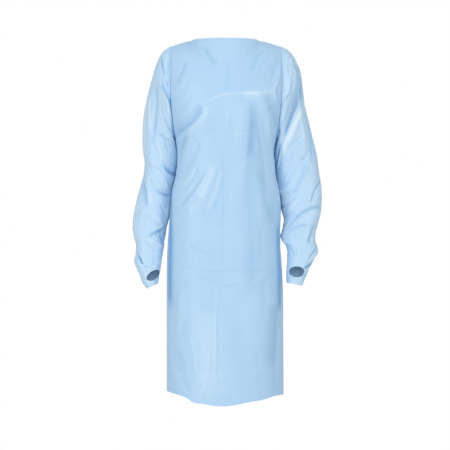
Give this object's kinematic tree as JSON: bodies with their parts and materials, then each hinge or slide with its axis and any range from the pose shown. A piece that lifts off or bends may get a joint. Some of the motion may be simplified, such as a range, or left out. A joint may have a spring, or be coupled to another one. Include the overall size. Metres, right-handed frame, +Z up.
{
  "type": "protective gown",
  "caption": "Pale blue film protective gown as worn: wide boat neck, straight long body, long loose sleeves with thumb holes, lapped back and waist ties knotted behind.",
  "frame": {"origin": "midway between the shoulder seams' neck ends, where the shoulders carry the gown", "axes": "+Z up towards the neck, -Y out of the front, +X towards the wearer's left sleeve"},
  "size_m": [0.6062, 0.2894, 1.1449],
  "materials": {
    "film": "smooth, slightly glossy polyethylene film"
  },
  "bodies": {
    "root": {"front": "film", "back_left": "film", "back_right": "film", "sleeve_left": "film", "sleeve_right": "film", "cuff_left": "film", "cuff_right": "film", "tie_left": "film", "tie_right": "film", "tie_end_left": "film", "tie_end_right": "film", "tie_knot": "film"}
  },
  "joints": []
}
